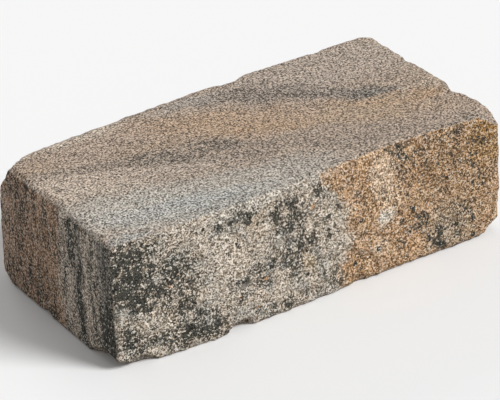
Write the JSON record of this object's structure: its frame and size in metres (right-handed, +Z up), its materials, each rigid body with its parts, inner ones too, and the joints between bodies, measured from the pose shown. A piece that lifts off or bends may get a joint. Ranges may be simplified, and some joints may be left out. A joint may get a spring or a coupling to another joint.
{
  "type": "retaining wall block",
  "caption": "Tumbled cast concrete wall block, rectangular, with smooth beds, one split face and worn, chipped arrises.",
  "frame": {"origin": "middle of the block's outline seen from above, on the lower bed that it rests on", "axes": "+X along the wall, +Y into the wall, away from the split face, +Z up"},
  "size_m": [0.4, 0.212, 0.122],
  "materials": {
    "concrete": "rough"
  },
  "bodies": {
    "root": {"block": "concrete"}
  },
  "joints": []
}
